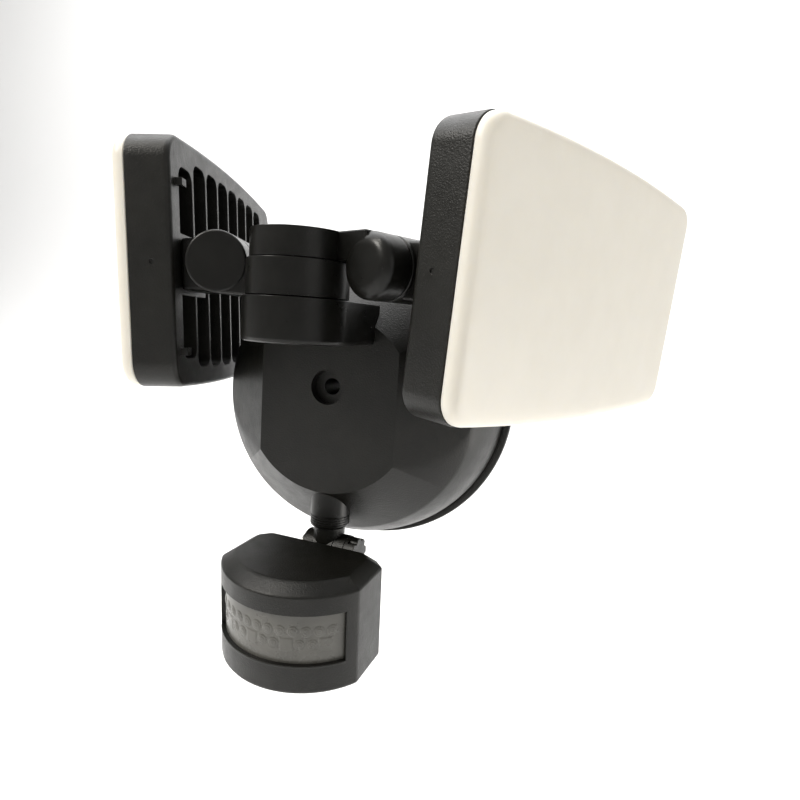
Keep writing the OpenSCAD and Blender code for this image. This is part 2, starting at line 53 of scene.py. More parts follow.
# Canopy, in millimetres from the wall
COVER_BACK, COVER_R = 4.2, 57.0
EDGE_R, EDGE_DEPTH = 49.7, 30.3
FACE_R, FACE_DEPTH = 32.5, 46.9
CREASE_X, COVER_WALL = 25.9, 2.4
PLATE_R, PLATE_BACK = 60.0, 1.2
HOLE_Z, HOLE_R, COUNTERBORE_R, COUNTERBORE_DEPTH = 5.8, 3.0, 6.2, 4.3
BOSS_R, BOSS_BACK, PLATE_BOSS_R = 9.0, 24.0, 8.0
BOX_SLOT_X, BOX_SLOT_HALF, BOX_SLOT_R = 39.7, 4.7, 2.3
WIRE_ENTRY_Z, WIRE_ENTRY_R = 27.0, 9.0

# Turret and knuckles
TURRET_Y = 71.0
BASE_R, BASE_Z0, BASE_Z1, BASE_WALL, BASE_SINK = 16.7, 21.8, 35.3, 2.4, 3.6
RINGS = {"left": (15.7, 35.5, 46.3), "right": (14.8, 46.5, 55.0)}     # radius, bottom, top
RING_WALL, RING_FLOOR, RING_EDGE = 2.4, 2.5, 0.35
KNUCKLE_R, DISC_Y0, DISC_Y1, NUT_R = 9.6, 2.4, 12.4, 4.62
DISC_ROUND = {"left": 1.0, "right": 4.2}
BARREL_Y0, BARREL_Y1, BARREL_FLAT = 12.6, 37.0, 8.2
BOSS_Y0, BOSS_HALF_Z = 14.0, 8.5
TUBE_R, BOLT_R, BOLT_HEAD_R, SOCKET_R = 8.0, 2.5, 4.4, 2.3

# Lamp heads
REST_TILT = {"left": 2.8, "right": 4.1}
HEAD_W, HEAD_H, HEAD_BOW, HEAD_CORNER = 141.0, 79.8, 3.0, 8.2
HEAD_Y, HEAD_BACK, HOUSING_T, DIFFUSER_T = 77.5, 15.0, 14.2, 4.8
RIB_PITCH, RIB_T, SLOTS, SLOT_DEPTH, RIB_BORDER = 14.1, 1.6, 9, 7.0, 6.5

# Sensor
STEM_Y, SENSOR_BACK, SENSOR_FRONT = 39.0, 46.0, 82.5
SENSOR_R, SENSOR_HALF_W, SENSOR_TOP, SENSOR_H = 31.0, 27.0, -50.0, 36.5
SENSOR_TURN, SENSOR_NOD, SENSOR_PIVOT_Z = 4.0, 3.0, -56.0
SENSOR_CENTRE_Y = -(SENSOR_FRONT - SENSOR_R)     # axis of the round front
SENSOR_CORNER, DIAL_X, DIAL_Y, DIAL_HOLE_R = 4.0, 9.0, -66.0, 3.8
WINDOW_TOP, WINDOW_H, WINDOW_ANGLE = SENSOR_TOP - 9.5, 17.0, 52.0
LENSLET_PITCH, LENS_STEP, LENS_LAP = 4.2, 0.2, 0.8
COLLAR_Z0, COLLAR_Z1, COLLAR_R, COLLAR_BORE_R = -46.5, -32.0, 7.3, 5.05


# ---------- frames ----------

def arm_frame(side):
    """Local X out along the arm, Y towards the head's far end, Z up, all in millimetres."""
    turret = Vector(JOINTS[f"{side}_swivel"]["pos_m"])
    tilt = JOINTS[f"{side}_tilt"]
    out = (Vector(tilt["pos_m"]) - turret).normalized()
    across = Vector(tilt["axis"]).normalized() * (1 if side == "right" else -1)
    m = Matrix((out, across, (0, 0, 1))).transposed().to_4x4()
    m.translation = (turret.x, turret.y, 0)
    return m @ Matrix.Scale(MM, 4)


def knuckle_place(side):
    """(distance out along the arm, height) of the tilt axis, in millimetres."""
    turret, knuckle = (Vector(JOINTS[f"{side}_{j}"]["pos_m"]) for j in ("swivel", "tilt"))
    return (knuckle - turret).length / MM, knuckle.z / MM


def head_frame(side):
    """The arm's frame carried to the tilt axis and tilted as at rest."""
    reach, height = knuckle_place(side)
    to_knuckle = Matrix.Translation((reach, 0, height))
    return arm_frame(side) @ to_knuckle @ Matrix.Rotation(math.radians(REST_TILT[side]), 4, "Y")


def sensor_frame():
    """The row frame in millimetres, turned about the stem and nodded about the tilt bolt."""
    turn = Matrix.Rotation(math.radians(-SENSOR_TURN), 4, "Z")
    nod = Matrix.Rotation(math.radians(SENSOR_NOD), 4, "X")
    stem = Matrix.Translation((0, -STEM_Y, 0)) @ turn
    pivot = Matrix.Translation((0, 0, SENSOR_PIVOT_Z)) @ nod
    return Matrix.Scale(MM, 4) @ stem @ pivot @ Matrix.Translation((0, STEM_Y, -SENSOR_PIVOT_Z))


ROW = Matrix.Scale(MM, 4)
# The cover's frame: x right, y down, z out from the wall
COVER_FRAME = ROW @ Matrix(((1, 0, 0, 0), (0, 0, -1, 0), (0, -1, 0, 0), (0, 0, 0, 1)))


# ---------- mesh helpers ----------

def mesh_object(name, verts, faces):
    mesh = bpy.data.meshes.new(name)
    mesh.from_pydata([tuple(v) for v in verts], [], faces)
    bm = bmesh.new()
    bm.from_mesh(mesh)
    bmesh.ops.remove_doubles(bm, verts=bm.verts, dist=1e-4)
    bmesh.ops.recalc_face_normals(bm, faces=bm.faces)
    bm.to_mesh(mesh)
    bm.free()
    obj = bpy.data.objects.new(name, mesh)
    bpy.context.scene.collection.objects.link(obj)
    return obj


def loft(name, loops, closed=False):
    """A closed skin over loops of equal length. Open lofts get a cap at each end."""
    n = len(loops[0])
    verts = [v for loop in loops for v in loop]
    faces = []
    rows = len(loops)
    for i in range(rows if closed else rows - 1):
        a, b = i * n, (i + 1) % rows * n
        faces += [(a + k, a + (k + 1) % n, b + (k + 1) % n, b + k) for k in range(n)]
    if not closed:
        faces += [tuple(range(n))[::-1], tuple((rows - 1) * n + k for k in range(n))]
    return mesh_object(name, verts, faces)


def revolve(name, profile, segments=128, closed=False):
    """Turns (radius, height) points about local Z. Open profiles get a flat cap at each end."""
    angles = [2 * math.pi * k / segments for k in range(segments)]
    loops = [[(r * math.cos(t), r * math.sin(t), h) for t in angles] for r, h in profile]
    return loft(name, loops, closed)


def prism(name, outline, z0, z1):
    return loft(name, [[(x, y, z0) for x, y in outline], [(x, y, z1) for x, y in outline]])


def box(name, low, high):
    (x0, y0, z0), (x1, y1, z1) = low, high
    return prism(name, [(x0, y0), (x1, y0), (x1, y1), (x0, y1)], z0, z1)


def rod(name, r, z0, z1, segments=48):
    return prism(name, circle(r, segments), z0, z1)


def circle(r, segments=48, x=0.0, y=0.0, a0=0.0, turn=360.0):
    """Points round a circle, or along an arc of turn degrees from a0, both ends included."""
    steps = segments if turn >= 360 else segments + 1
    angles = [math.radians(a0 + turn * k / segments) for k in range(steps)]
    return [(x + r * math.cos(t), y + r * math.sin(t)) for t in angles]


def move(obj, matrix):
    obj.data.transform(matrix)
    if matrix.determinant() < 0:
        obj.data.flip_normals()
    return obj


def along_y(obj, x=0.0, y=0.0, z=0.0):
    """Lays a piece made along Z along Y."""
    return move(obj, Matrix.Translation((x, y, z)) @ Matrix.Rotation(math.radians(-90), 4, "X"))


def shift(obj, x, y, z=0.0):
    return move(obj, Matrix.Translation((x, y, z)))


def settle(obj):
    """Replaces a piece's mesh with the result of its modifiers."""
    bpy.context.view_layer.update()
    final = obj.evaluated_get(bpy.context.evaluated_depsgraph_get())
    result = bpy.data.meshes.new_from_object(final)
    obj.modifiers.clear()
    obj.data = result
    return obj


def combine(obj, others, operation):
    for other in others:
        m = obj.modifiers.new(operation.lower(), "BOOLEAN")
        m.operation, m.object, m.solver = operation, other, "EXACT"
    settle(obj)
    for other in others:
        bpy.data.objects.remove(other)
    return obj


def cut(obj, *tools):
    return combine(obj, tools, "DIFFERENCE")


def add(obj, *parts):
    return combine(obj, parts, "UNION")


def soften(obj, width, angle=28, segments=3):
    """Rounds a piece's edges."""
    m = obj.modifiers.new("edges", "BEVEL")
    m.width, m.segments, m.limit_method = width, segments, "ANGLE"
    m.angle_limit = math.radians(angle)
    m.use_clamp_overlap = True
    return settle(obj)


def shade(obj, angle=32):
    """Smooth shading up to the angle, with normals that follow the larger faces."""
    bm = bmesh.new()
    bm.from_mesh(obj.data)
    bmesh.ops.dissolve_degenerate(bm, edges=bm.edges, dist=1e-6)
    bm.to_mesh(obj.data)
    bm.free()
    obj.data.shade_smooth()
    obj.data.set_sharp_from_angle(angle=math.radians(angle))
    m = obj.modifiers.new("normals", "WEIGHTED_NORMAL")
    m.keep_sharp, m.weight, m.mode = True, 100, "FACE_AREA_WITH_ANGLE"
    return settle(obj)


def place(obj, matrix, body, material, replaces=()):
    """Carries a finished piece into the row frame, ties it to its body and finish, and hides the CAD nodes it
    stands in for.
    """
    shade(move(obj, matrix))
    obj.data.materials.clear()
    obj.data.materials.append(material)
    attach(obj, body)
    if replaces:
        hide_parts(*replaces)
    return obj


# ---------- materials ----------

MOTTLE_MM, GLOSS_MM = 14.0, 5.0     # sizes of the patches of colour and of gloss
WAVE_RADIANS = 20                   # what Blender's band texture turns through in one unit
RING_DEPTH_MM = 0.012


def new_material(name):
    m = bpy.data.materials.new(name)
    m.use_nodes = True
    return m, m.node_tree.nodes, m.node_tree.links, m.node_tree.nodes["Principled BSDF"]


def noise(nodes, links, coords, size_mm, detail=3.0, roughness=0.55):
    n = nodes.new("ShaderNodeTexNoise")
    n.inputs["Scale"].default_value = 1000 / size_mm
    n.inputs["Detail"].default_value = detail
    n.inputs["Roughness"].default_value = roughness
    links.new(coords, n.inputs["Vector"])
    return n.outputs["Fac"]


def remap(nodes, links, value, low, high):
    n = nodes.new("ShaderNodeMapRange")
    n.inputs["From Min"].default_value, n.inputs["From Max"].default_value = 0.3, 0.7
    n.inputs["To Min"].default_value, n.inputs["To Max"].default_value = low, high
    links.new(value, n.inputs["Value"])
    return n.outputs["Result"]


def ramp(nodes, links, value, dark, light):
    n = nodes.new("ShaderNodeValToRGB")
    n.color_ramp.elements[0].position, n.color_ramp.elements[1].position = 0.35, 0.65
    n.color_ramp.elements[0].color = (*dark, 1)
    n.color_ramp.elements[1].color = (*light, 1)
    links.new(value, n.inputs["Fac"])
    return n.outputs["Color"]


def bump(nodes, links, height, depth_mm, after=None):
    n = nodes.new("ShaderNodeBump")
    n.inputs["Distance"].default_value = depth_mm * MM
    links.new(height, n.inputs["Height"])
    if after:
        links.new(after, n.inputs["Normal"])
    return n.outputs["Normal"]


def surface(name, dark, light, rough, grain_mm, grain_depth_mm, rings_mm=0.0, **fixed):
    """A moulded, painted or plated surface: mottled colour, uneven gloss and a fine grain.

    rings_mm is the spacing of faint turning marks divided by two pi. fixed sets shader sockets.
    """
    m, nodes, links, shader = new_material(name)
    coords = nodes.new("ShaderNodeTexCoord").outputs["Object"]
    mottle = noise(nodes, links, coords, MOTTLE_MM)
    links.new(ramp(nodes, links, mottle, dark, light), shader.inputs["Base Color"])
    gloss = noise(nodes, links, coords, GLOSS_MM)
    links.new(remap(nodes, links, gloss, *rough), shader.inputs["Roughness"])
    normal = bump(nodes, links, noise(nodes, links, coords, grain_mm, 2.0), grain_depth_mm)
    if rings_mm:
        wave = nodes.new("ShaderNodeTexWave")
        wave.bands_direction = "Z"
        wave.inputs["Scale"].default_value = 1000 / rings_mm / WAVE_RADIANS
        wave.inputs["Distortion"].default_value = 0.6
        wave.inputs["Detail"].default_value = 1.0
        links.new(coords, wave.inputs["Vector"])
        normal = bump(nodes, links, wave.outputs["Fac"], RING_DEPTH_MM, normal)
    links.new(normal, shader.inputs["Normal"])
    for key, value in fixed.items():
        shader.inputs[key.replace("_", " ").title().replace("Ior", "IOR")].default_value = value
    return m


# name, dark and light colour, roughness range, grain size and depth in millimetres
BLACK = surface("textured_black", (0.0042, 0.0040, 0.0029), (0.0070, 0.0067, 0.0050),
                (0.33, 0.43), 0.50, 0.13, specular_ior_level=0.38)
SATIN = surface("satin_black", (0.0036, 0.0035, 0.0029), (0.0058, 0.0056, 0.0047),
                (0.27, 0.36), 0.5, 0.014, 0.7, specular_ior_level=0.30)
INNER = surface("inner_black", (0.06, 0.06, 0.06), (0.09, 0.09, 0.09), (0.5, 0.6), 0.6, 0.03)
OPAL = surface("opal", (0.775, 0.735, 0.655), (0.795, 0.755, 0.675), (0.36, 0.44), 1.2, 0.004)
RUBBER = surface("rubber", (0.018, 0.018, 0.018), (0.03, 0.03, 0.03), (0.75, 0.9), 0.7, 0.08)
STEEL = surface("zinc_steel", (0.45, 0.45, 0.44), (0.6, 0.6, 0.58), (0.25, 0.4), 0.3, 0.01,
                metallic=1.0)
BRASS = surface("brass", (0.6, 0.42, 0.17), (0.72, 0.53, 0.25), (0.25, 0.35), 0.3, 0.01,
                metallic=1.0)
GREEN = surface("green_screw", (0.04, 0.2, 0.07), (0.07, 0.28, 0.1), (0.3, 0.4), 0.3, 0.01,
                metallic=0.6)
WHITE = surface("white_moulding", (0.7, 0.69, 0.66), (0.78, 0.77, 0.74), (0.4, 0.5), 0.5, 0.02)
BOARD = surface("circuit_board", (0.01, 0.09, 0.03), (0.02, 0.13, 0.045), (0.3, 0.4), 0.4, 0.01)
MASK = surface("led_board", (0.75, 0.75, 0.73), (0.82, 0.82, 0.8), (0.35, 0.45), 0.4, 0.01)
CHIP = surface("led_chip", (0.8, 0.62, 0.12), (0.88, 0.72, 0.2), (0.3, 0.4), 0.3, 0.01)
BLUE = surface("blue_moulding", (0.01, 0.04, 0.3), (0.02, 0.06, 0.38), (0.3, 0.4), 0.4, 0.01)
LENS = surface("sensor_lens", (0.085, 0.083, 0.074), (0.115, 0.112, 0.10), (0.24, 0.34), 0.5, 0.006)

BY_SLOT = {
    "black_plastic": BLACK, "foam_rubber": RUBBER, "gasket_rubber": RUBBER, "inner_plastic": INNER,
    "terminal_plastic": WHITE, "brass": BRASS, "steel": STEEL, "green_screw": GREEN, "led_board": MASK,
    "led_chip": CHIP, "opal_plastic": OPAL, "sensor_lens": LENS, "circuit_board": BOARD,
    "blue_plastic": BLUE, "detector_can": STEEL, "dial_plastic": INNER,
}
# Every CAD node gets a finished material, also where a piece below takes its place
for part in frame["record"]["subparts"]:
    node = frame["nodes"][part["node"]]
    node.data.materials.clear()
    node.data.materials.append(BY_SLOT[part["material_slot"]])

OPAL_SHADER = OPAL.node_tree.nodes["Principled BSDF"]
OPAL_SHADER.inputs["Subsurface Weight"].default_value = 0.35
OPAL_SHADER.inputs["Subsurface Radius"].default_value = (1.0, 0.9, 0.7)
OPAL_SHADER.inputs["Subsurface Scale"].default_value = 0.004


# ---------- canopy ----------

BEVEL_SLOPE = (FACE_DEPTH - EDGE_DEPTH) / (EDGE_R - FACE_R)
# The cover's side is an arc that leaves the rim square to the wall
SIDE_RUN, SIDE_DROP = EDGE_DEPTH - COVER_BACK, COVER_R - EDGE_R
SIDE_ARC = (SIDE_RUN**2 + SIDE_DROP**2) / (2 * SIDE_DROP)
SIDE_CENTRE = COVER_R - SIDE_ARC


def cover_profile(inset, back):
    """(radius, distance from the wall) from the rim to the axis."""
    corner_r = FACE_R - inset * (math.hypot(1, BEVEL_SLOPE) - 1) / BEVEL_SLOPE
    steps = 18
    depths = [back + (EDGE_DEPTH - inset * 0.1 - back) * k / steps for k in range(steps + 1)]
    arc = SIDE_ARC - inset
    points = [(SIDE_CENTRE + math.sqrt(arc ** 2 - (d - COVER_BACK) ** 2), d) for d in depths]
    return points + [(corner_r, FACE_DEPTH - inset)]


def facet_tool(side, inset):
    """The space in front of one side facet, in the cover's frame."""
    slope = (FACE_DEPTH - EDGE_DEPTH) / (EDGE_R - CREASE_X)
    x0, d0 = CREASE_X - inset * 0.3, FACE_DEPTH - inset
    wedge = [(x0, d0), (x0 + 60, d0 - 60 * slope), (x0 + 60, d0 + 30), (x0, d0 + 30)]
    loops = [[(side * x, y, d) for x, d in wedge] for y in (-80, 80)]
    return loft("facet", loops)


def build_cover():
    outer = revolve("cover", cover_profile(0, COVER_BACK), 192)
    cut(outer, facet_tool(1, 0), facet_tool(-1, 0))
    hollow = revolve("hollow", cover_profile(COVER_WALL, COVER_BACK - 1), 96)
    cut(hollow, facet_tool(1, COVER_WALL), facet_tool(-1, COVER_WALL))
    # The frame has y down, so a height is -y
    boss = shift(rod("boss", BOSS_R, BOSS_BACK, FACE_DEPTH - 1), 0, -HOLE_Z)
    cut(outer, hollow)
    add(outer, boss)
    holes = [
        shift(rod("hole", HOLE_R, 20, 60), 0, -HOLE_Z),
        shift(rod("counterbore", COUNTERBORE_R, FACE_DEPTH - COUNTERBORE_DEPTH, 60), 0, -HOLE_Z),
        along_y(rod("collar_hole", COLLAR_R, 28, 70), 0, 0, STEM_Y),
    ]
    cut(outer, *holes)
    soften(outer, 0.55, 16)
    return place(outer, COVER_FRAME, "canopy", BLACK, ["canopy_cover"])


def build_plate():
    r, b, f = PLATE_R, PLATE_BACK, COVER_BACK
    rim = [(r - 0.6, b), (r, b + 0.6), (r, f - 0.8), (r - 0.3, f - 0.25), (r - 0.9, f)]
    groove = [(COVER_R + 0.7, f), (COVER_R + 0.5, f - 0.5), (COVER_R - 0.2, f - 0.5), (COVER_R - 0.3, f)]
    plate = revolve("wall_plate_visual", rim + groove, 160)
    add(plate, shift(rod("boss", PLATE_BOSS_R, b + 0.5, BOSS_BACK), 0, -HOLE_Z))
    tools = [
        shift(rod("thread", BOLT_R, 0, 30), 0, -HOLE_Z),
        shift(rod("wires", WIRE_ENTRY_R, 0, 10), 0, -WIRE_ENTRY_Z),
    ]
    for side in (-1, 1):
        ends = circle(BOX_SLOT_R, 20, BOX_SLOT_HALF, 0, -90, 180)
        ends += circle(BOX_SLOT_R, 20, -BOX_SLOT_HALF, 0, 90, 180)
        tools.append(shift(prism("slot", ends, 0, 10), side * BOX_SLOT_X, 0))
    cut(plate, *tools)
    return place(plate, COVER_FRAME, "canopy", BLACK, ["wall_plate"])


# ---------- turret ----------

def build_turret_base():
    def plan(inset):
        r = BASE_R - inset
        front = circle(r, 64, 0, -TURRET_Y, 180, 180)
        return front + [(r, -FACE_DEPTH + BASE_SINK), (-r, -FACE_DEPTH + BASE_SINK)]

    levels = [(BASE_Z0, 1.1), (BASE_Z0 + 0.35, 0.45), (BASE_Z0 + 1.0, 0.08), (BASE_Z0 + 1.5, 0),
              (BASE_Z1 - 0.5, 0), (BASE_Z1 - 0.15, 0.12), (BASE_Z1, 0.45)]
    block = loft("turret_base_visual", [[(x, y, z) for x, y in plan(i)] for z, i in levels])
    cavity = rod("cavity", 12.2, BASE_Z0 + BASE_WALL, BASE_Z1 - BASE_WALL)
    tube = rod("tube", TUBE_R, BASE_Z0 + 3, BASE_Z1 + 2)
    cut(block, shift(cavity, 0, -TURRET_Y), shift(tube, 0, -TURRET_Y))
    return place(block, ROW, "canopy", SATIN, ["turret_base"])


def rounded_disc(name, r, y0, y1, near, far):
    """A disc along Y with its two ends rounded by near and far."""
    steps = 10
    angles = [math.pi / 2 * k / steps for k in range(steps + 1)]
    profile = [(r - near + near * math.sin(t), y0 + near * 0.8 * (1 - math.cos(t))) for t in angles]
    profile += [(r, y1 - far * 1.6), (r - far * 0.35, y1 - far * 0.8), (r - far, y1)]
    return along_y(revolve(name, profile, 96))


def build_arm(side):
    """A turret ring, the neck, and the disc of the knuckle with its bolt bore and nut pocket."""
    r, z0, z1 = RINGS[side]
    reach, height = knuckle_place(side)
    e, floor, bore_r = RING_EDGE, z0 + RING_FLOOR, TUBE_R + 0.1
    profile = [(bore_r, z0), (r - e, z0), (r - 0.1, z0 + 0.12), (r, z0 + e), (r, z1 - e),
               (r - 0.1, z1 - 0.12)]
    profile += [(r - e, z1), (r - e - 0.2, z1)] if side == "left" else [(r - 0.5, z1)]
    profile += [(r - RING_WALL, z1), (r - RING_WALL, floor), (bore_r, floor)]
    ring = revolve(f"{side}_arm_visual", profile, 160, closed=True)
    neck = box("neck", (r - 2.0, DISC_Y0 + 0.3, z0), (reach, DISC_Y1 - 0.02, z1))
    soften(neck, 0.7, 30)
    disc = rounded_disc("disc", KNUCKLE_R, DISC_Y0, DISC_Y1, DISC_ROUND[side], 0.5)
    add(ring, neck, shift(disc, reach, 0, height))
    bore = rod("bore", BOLT_R + 0.02, DISC_Y0 + 2.5, DISC_Y1 + 1)
    pocket = prism("pocket", circle(NUT_R, 6), DISC_Y1 - 3.6, DISC_Y1 + 1)
    cut(ring, along_y(bore, reach, 0, height), along_y(pocket, reach, 0, height))
    return place(ring, arm_frame(side), f"{side}_arm", SATIN, [f"{side}_arm"])


def build_turret_cap():
    """The lid in the top ring."""
    r, z1 = RINGS["right"][0] - RING_WALL, RINGS["right"][2]
    profile = [(r - 0.05, z1 - 2.2), (r - 0.05, z1 - 0.5), (r - 0.5, z1 - 0.05), (r - 1.1, z1)]
    cap = shift(revolve("turret_cap_visual", profile, 128), 0, -TURRET_Y)
    return place(cap, ROW, "right_arm", SATIN, ["turret_cap"])


def build_knuckle(side):
    """The head's half of the knuckle: a barrel with a flat, and the boss that carries the housing."""
    barrel = rounded_disc("barrel", KNUCKLE_R, BARREL_Y0, BARREL_Y1, 0.6, 0.7)
    cut(barrel, box("flat", (-20, BARREL_Y0 + 1.4, -20), (-BARREL_FLAT, 60, 20)))
    boss = box("boss", (0, BOSS_Y0, -BOSS_HALF_Z), (HEAD_BACK, BARREL_Y1 - 0.05, BOSS_HALF_Z))
    soften(boss, 1.2, 30)
    add(barrel, boss)
    bore = along_y(rod("bore", BOLT_R + 0.08, 0, 60))
    head = along_y(rod("bolt_head", BOLT_HEAD_R + 0.4, BARREL_Y1 - 3.6, 60))
    cut(barrel, bore, head)
    barrel.name = f"{side}_knuckle_visual"
    return place(barrel, head_frame(side), f"{side}_head", SATIN, [f"{side}_knuckle"])


def build_knuckle_bolt(side):
    """A socket-head bolt, its head in the barrel's far end."""
    reach, height = knuckle_place(side)
    y0, y1, y2 = DISC_Y0 + 2.6, BARREL_Y1 - 3.5, BARREL_Y1 - 0.7
    r = BOLT_HEAD_R
    profile = [(BOLT_R - 0.4, y0), (BOLT_R, y0 + 0.4), (BOLT_R, y1),
               (r - 0.2, y1), (r, y1 + 0.25), (r, y2 - 0.5), (r - 0.4, y2)]
    bolt = along_y(revolve(f"{side}_knuckle_bolt_visual", profile, 64), reach, 0, height)
    socket = prism("socket", circle(SOCKET_R, 6), y1 + 0.6, y2 + 1)
    cut(bolt, along_y(socket, reach, 0, height))
    return place(bolt, arm_frame(side), f"{side}_arm", STEEL, [f"{side}_knuckle_bolt"])


# ---------- lamp heads ----------

CORNERS = ((1, 1, 0), (-1, 1, 90), (-1, -1, 180), (1, -1, 270))     # x side, y side, first angle


def head_loop(inset, x, corner_steps=12, edge_steps=24):
    """A head's outline at local x: round corners and bowed long edges."""
    w, h, r = HEAD_W - 2 * inset, HEAD_H - 2 * inset, max(HEAD_CORNER - inset, 1.5)
    points = []
    for cx, cy, a in CORNERS:
        points += circle(r, corner_steps, cx * (w / 2 - r), cy * (h / 2 - r), a, 90)
        if cx == cy:
            x0, x1 = cx * (w / 2 - r), -cx * (w / 2 - r)
            points += [(x0 + (x1 - x0) * k / edge_steps, cy * h / 2) for k in range(1, edge_steps)]
    bowed = [(u, v + bow_at(u) * v / (h / 2)) for u, v in points]
    return [(x, HEAD_Y + u, v) for u, v in bowed]


def bow_at(u):
    """How far a long edge stands out at u from the head's middle."""
    return HEAD_BOW * (1 - (2 * u / HEAD_W) ** 2)


def rib_slot(k):
    """The k-th cooling slot, tapered inwards and kept clear of the knuckle's boss."""
    u = (k - (SLOTS - 1) / 2) * RIB_PITCH
    end = 3 if k in (0, SLOTS - 1) else 0
    half_w, half_h, r = (RIB_PITCH - RIB_T) / 2, HEAD_H / 2 + bow_at(u) - RIB_BORDER - end, 4.0
    outline = []
    for cx, cy, a in CORNERS:
        outline += circle(r, 8, cx * (half_w - r), cy * (half_h - r), a, 90)
    ends = ((HEAD_BACK - 1, 1.0, 1.0), (HEAD_BACK + SLOT_DEPTH, 0.955, 0.992))
    slot = loft("slot", [[(x, HEAD_Y + u + p * s, q * s2) for p, q in outline] for x, s, s2 in ends])
    margin = 1.5
    pad = box("pad", (HEAD_BACK - 2, BOSS_Y0 - margin, -BOSS_HALF_Z - margin),
              (HEAD_BACK + 20, BARREL_Y1 + margin, BOSS_HALF_Z + margin))
    return cut(slot, pad)


def hook(z, name):
    """A small wire hook standing off the housing's back near its inner edge."""
    y = HEAD_Y - HEAD_W / 2 + 4.2
    x0, x1, x2 = HEAD_BACK - 2.4, HEAD_BACK - 1.4, HEAD_BACK + 0.5
    outline = [(x0, y), (x0, y + 3.8), (x1, y + 3.8), (x1, y + 1.8), (x2, y + 1.8), (x2, y)]
    return soften(prism(name, outline, z - 1.2, z + 1.2), 0.2, 30, 2)


def build_housing(side):
    back, front = HEAD_BACK, HEAD_BACK + HOUSING_T
    floor = back + SLOT_DEPTH + 2
    # (inset, x): the rounded back edge, the side, the front lip and the inside
    skin = [(1.6, back), (0.95, back + 0.16), (0.4, back + 0.55), (0.1, back + 1.1), (0.0, back + 1.9),
            (0.0, front - 0.5), (0.15, front - 0.12), (0.5, front), (2.3, front), (2.5, front - 0.3),
            (2.5, floor)]
    shell = loft(f"{side}_housing_visual", [head_loop(i, x) for i, x in skin])
    cut(shell, *[rib_slot(k) for k in range(SLOTS)])
    add(shell, hook(25.5, "upper_hook"), hook(-28.5, "lower_hook"))
    dimple = along_y(revolve("dimple", [(0.5, -0.45), (0.7, -0.4), (1.0, 0.5)], 24),
                     back + 6.5, HEAD_Y - HEAD_W / 2, 0)
    cut(shell, dimple)
    soften(shell, 0.3, 50, 2)
    return place(shell, head_frame(side), f"{side}_head", BLACK, [f"{side}_housing"])


def build_diffuser(side):
    """The opal cover: a crowned face with a rolled edge, hollow behind."""
    front = HEAD_BACK + HOUSING_T
    floor = HEAD_BACK + SLOT_DEPTH + 4.2
    skin = [(2.7, floor), (2.7, front - 0.2), (2.2, front + 0.02), (0.75, front + 0.02),
            (0.42, front + 0.35), (0.4, front + 1.2), (0.5, front + 2.1), (0.8, front + 2.9),
            (1.35, front + 3.6), (2.1, front + 4.15), (3.1, front + 4.5), (4.6, front + 4.7),
            (7.5, front + DIFFUSER_T)]
    inside = [(9.0, front + 3.0), (5.5, front + 2.6), (4.3, front + 1.2), (4.1, floor - 1)]
    cover = loft(f"{side}_diffuser_visual", [head_loop(i, x) for i, x in skin])
    hollow = loft("hollow", [head_loop(i, x) for i, x in inside])
    cut(cover, hollow)
    return place(cover, head_frame(side), f"{side}_head", OPAL, [f"{side}_diffuser"])


# ---------- sensor ----------

def sensor_loop(inset, z, arc_steps=72):
    """The sensor's outline at height z: a round front and a square back with cut corners."""
    half_w, r = SENSOR_HALF_W - inset, SENSOR_R - inset
    back = -SENSOR_BACK - inset * 0.5
    half = math.degrees(math.asin(half_w / r))
    arc = circle(r, arc_steps, 0, SENSOR_CENTRE_Y, 270 - half, 2 * half)
    c = SENSOR_CORNER
    corner = [(half_w, back - c), (half_w - 0.4, back - c + 0.9), (half_w - c + 0.9, back - 0.4),
              (half_w - c, back)]
    mirror = [(-x, y) for x, y in corner[::-1]]
    return [(x, y, z) for x, y in arc + corner + mirror]


def band(name, r0, r1, z0, z1, half_angle):
    """A sector of a ring about the sensor's round front."""
    arcs = [circle(r, 48, 0, SENSOR_CENTRE_Y, 270 - half_angle, 2 * half_angle) for r in (r1, r0)]
    return prism(name, arcs[0] + arcs[1][::-1], z0, z1)


def build_sensor_shell():
    top, bottom = SENSOR_TOP, SENSOR_TOP - SENSOR_H
    levels = [(bottom, 1.2), (bottom + 0.25, 0.5), (bottom + 0.8, 0.1), (bottom + 1.4, 0), (top - 3.9, 0),
              (top - 3.5, 0.1), (top - 2.9, 0.55), (top - 0.75, 3.7), (top - 0.25, 4.5), (top, 5.3)]
    shell = loft("sensor_shell", [sensor_loop(i, z) for z, i in levels])
    window = band("window", 27.2, 40, WINDOW_TOP - WINDOW_H, WINDOW_TOP, WINDOW_ANGLE)
    plate = box("plate", (-22, -SENSOR_BACK - 2.2, bottom + 2), (22, -40, SENSOR_TOP - 5))
    dials = [shift(rod("dial", DIAL_HOLE_R, bottom - 1, bottom + 4.2), x, DIAL_Y) for x in (-DIAL_X, DIAL_X)]
    cut(shell, window, plate, *dials)
    # A narrow lip under the window, which catches the light
    sill = WINDOW_TOP - WINDOW_H
    lip = band("lip", 28.0, SENSOR_R + 0.1, sill - 0.75, sill - 0.05, WINDOW_ANGLE)
    add(shell, soften(lip, 0.2, 30, 2))
    soften(shell, 0.28, 35, 2)
    return place(shell, sensor_frame(), "sensor", BLACK, ["sensor_front"])


def lenslets():
    """(distance round the window, distance below its top, half width, half height).

    A round lenslet has its radius as half width and 0 as half height.
    """
    cells = [(-23.2 + LENSLET_PITCH * k, 6.0, 2.05, 0) for k in range(12)]
    for k in range(11):
        s = -21.1 + LENSLET_PITCH * k
        cells.append((s, 10.6, 2.3, 2.4) if k % 3 == 1 else (s, 10.4, 1.95, 0))
    return cells


